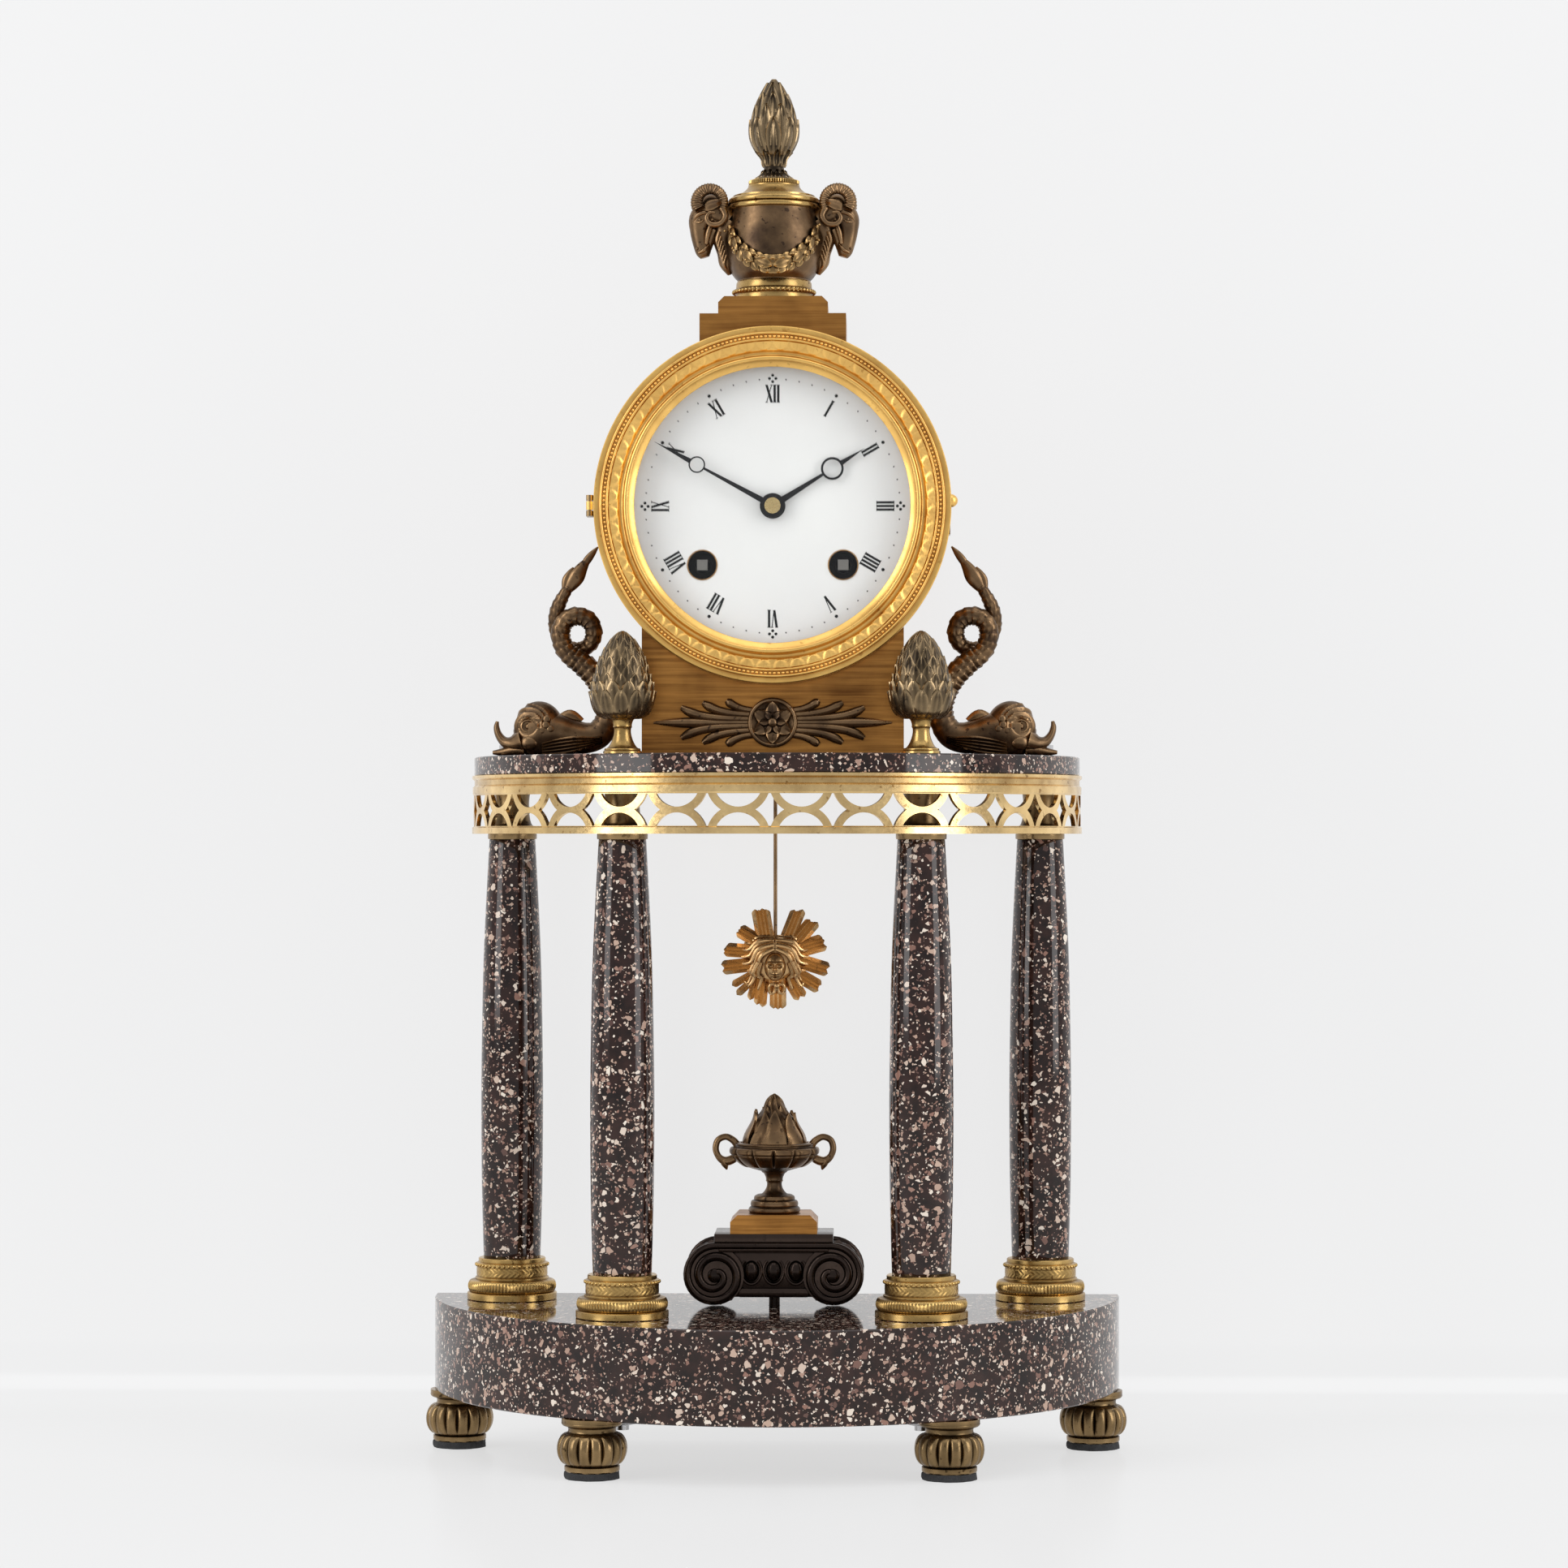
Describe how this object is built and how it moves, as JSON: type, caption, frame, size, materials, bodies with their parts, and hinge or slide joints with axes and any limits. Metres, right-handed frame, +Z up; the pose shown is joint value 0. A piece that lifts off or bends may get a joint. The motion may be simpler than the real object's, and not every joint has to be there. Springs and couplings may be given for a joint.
{
  "type": "portico clock",
  "caption": "Half-round portico mantel clock: stone base and columns carry a pierced gallery, a drum case with enamel dial, urn and dolphins, and a swinging sun pendulum.",
  "frame": {"origin": "centre of the bounding box on the table, under the felt pads", "axes": "+Z up, -Y out of the dial towards the viewer, +X to the viewer's right"},
  "size_m": [0.2602, 0.128, 0.5035],
  "materials": {
    "porphyry": "dark brown-purple porphyry with pale crystals, polished",
    "gilt_brass": "gilt brass, polished with soft tarnish in the hollows",
    "case_brass": "warm brown-gold brushed brass",
    "patina_bronze": "brown patinated bronze with rubbed gold edges",
    "dark_bronze": "black-brown patinated bronze",
    "movement_brass": "lightly brushed movement brass",
    "bell_metal": "pale polished bell metal",
    "steel": "plain turned steel",
    "black_steel": "blackened steel",
    "enamel": "white fired enamel, glossy",
    "glass": "clear flat glass",
    "felt": "dark grey felt"
  },
  "bodies": {
    "stand": {"base_plinth": "porphyry", "bun_feet": "gilt_brass", "felt_pads": "felt", "column_shaft_1": "porphyry", "column_shaft_2": "porphyry", "column_shaft_3": "porphyry", "column_shaft_4": "porphyry", "column_bases": "gilt_brass", "column_capitals": "gilt_brass", "tie_rods": "steel", "gallery_frieze": "gilt_brass", "entablature_slab": "porphyry", "fixing_bolts": "steel", "altar_capital": "dark_bronze", "altar_step": "gilt_brass", "altar_tazza": "patina_bronze", "altar_flame": "patina_bronze", "case_pedestal": "case_brass", "rosette_mount": "dark_bronze", "drum_case": "case_brass", "dial_ring": "case_brass", "urn_plinth": "case_brass", "urn_step": "case_brass", "urn_body": "gilt_brass", "urn_lid": "gilt_brass", "urn_finial": "gilt_brass", "ram_head_left": "gilt_brass", "ram_head_right": "gilt_brass", "urn_garland": "gilt_brass", "urn_bolt": "steel", "dolphin_left": "patina_bronze", "dolphin_right": "patina_bronze", "pinecone_left": "patina_bronze", "pinecone_right": "patina_bronze", "dial": "enamel", "front_plate": "movement_brass", "back_plate": "movement_brass", "plate_pillars": "movement_brass", "bell": "bell_metal", "suspension_cock": "movement_brass", "case_hinges": "gilt_brass"},
    "bezel_door": {"bezel": "gilt_brass", "bezel_glass": "glass"},
    "rear_door": {"rear_door": "case_brass"},
    "center_train": {"center_arbor": "movement_brass", "minute_hand": "black_steel"},
    "hour_train": {"hour_wheel": "movement_brass", "hour_hand": "black_steel"},
    "minute_work": {"minute_wheel": "movement_brass"},
    "intermediate": {"intermediate_wheel": "movement_brass"},
    "going_drum": {"going_barrel": "movement_brass"},
    "third": {"third_wheel": "movement_brass"},
    "escape": {"escape_wheel": "movement_brass"},
    "going_wind": {"going_arbor": "steel"},
    "strike_wind": {"strike_arbor": "steel"},
    "strike_drum": {"strike_barrel": "movement_brass"},
    "hammer": {"strike_hammer": "steel"},
    "pendulum": {"pendulum_rod": "gilt_brass", "pendulum_bob": "gilt_brass"},
    "anchor": {"anchor_crutch": "steel"}
  },
  "joints": [
    {"name": "bezel_hinge", "type": "hinge", "parent": "stand", "child": "bezel_door", "pos_m": [-0.0658, -0.01, 0.3456], "axis": [0, 0, -1], "range_deg": [0, 100]},
    {"name": "rear_door_hinge", "type": "hinge", "parent": "stand", "child": "rear_door", "pos_m": [0.0636, 0.05315, 0.3456], "axis": [0, 0, -1], "range_deg": [0, 110]},
    {"name": "minute_spin", "type": "hinge", "parent": "stand", "child": "center_train", "pos_m": [0, 0.004, 0.3456], "axis": [0, 1, 0], "continuous": true},
    {"name": "hour_spin", "type": "hinge", "parent": "stand", "child": "hour_train", "pos_m": [0, -0.003, 0.3456], "axis": [0, 1, 0], "continuous": true},
    {"name": "minute_wheel_spin", "type": "hinge", "parent": "stand", "child": "minute_work", "pos_m": [0, -0.002, 0.3306], "axis": [0, 1, 0], "continuous": true},
    {"name": "intermediate_spin", "type": "hinge", "parent": "stand", "child": "intermediate", "pos_m": [0.01886, 0.014, 0.34436], "axis": [0, 1, 0], "continuous": true},
    {"name": "going_barrel_spin", "type": "hinge", "parent": "stand", "child": "going_drum", "pos_m": [0.0254, 0.014, 0.3244], "axis": [0, 1, 0], "continuous": true},
    {"name": "third_spin", "type": "hinge", "parent": "stand", "child": "third", "pos_m": [-0.00983, 0.014, 0.35746], "axis": [0, 1, 0], "continuous": true},
    {"name": "escape_spin", "type": "hinge", "parent": "stand", "child": "escape", "pos_m": [0, 0.014, 0.3646], "axis": [0, 1, 0], "continuous": true},
    {"name": "going_winding", "type": "hinge", "parent": "stand", "child": "going_wind", "pos_m": [0.0254, 0.004, 0.3244], "axis": [0, 1, 0], "continuous": true},
    {"name": "strike_winding", "type": "hinge", "parent": "stand", "child": "strike_wind", "pos_m": [-0.0254, 0.004, 0.3244], "axis": [0, 1, 0], "continuous": true},
    {"name": "strike_barrel_spin", "type": "hinge", "parent": "stand", "child": "strike_drum", "pos_m": [-0.0254, 0.014, 0.3244], "axis": [0, 1, 0], "continuous": true},
    {"name": "hammer_swing", "type": "hinge", "parent": "stand", "child": "hammer", "pos_m": [-0.024, 0.032, 0.3116], "axis": [0, 1, 0], "range_deg": [-20, 0], "stiffness_Nm_per_rad": 0.02},
    {"name": "pendulum_swing", "type": "hinge", "parent": "stand", "child": "pendulum", "pos_m": [0, 0.036, 0.3776], "axis": [0, 1, 0], "range_deg": [-5, 5]},
    {"name": "anchor_rock", "type": "hinge", "parent": "stand", "child": "anchor", "pos_m": [0, 0.019, 0.3776], "axis": [0, 1, 0], "range_deg": [-5, 5]}
  ],
  "couplings": [
    {"joint": "hour_spin", "follows": "minute_spin", "ratio": 0.083333},
    {"joint": "minute_wheel_spin", "follows": "minute_spin", "ratio": -0.33333},
    {"joint": "intermediate_spin", "follows": "minute_spin", "ratio": -0.16667},
    {"joint": "going_barrel_spin", "follows": "minute_spin", "ratio": 0.027778},
    {"joint": "third_spin", "follows": "minute_spin", "ratio": -10},
    {"joint": "escape_spin", "follows": "minute_spin", "ratio": 125},
    {"joint": "anchor_rock", "follows": "pendulum_swing", "ratio": 1}
  ]
}
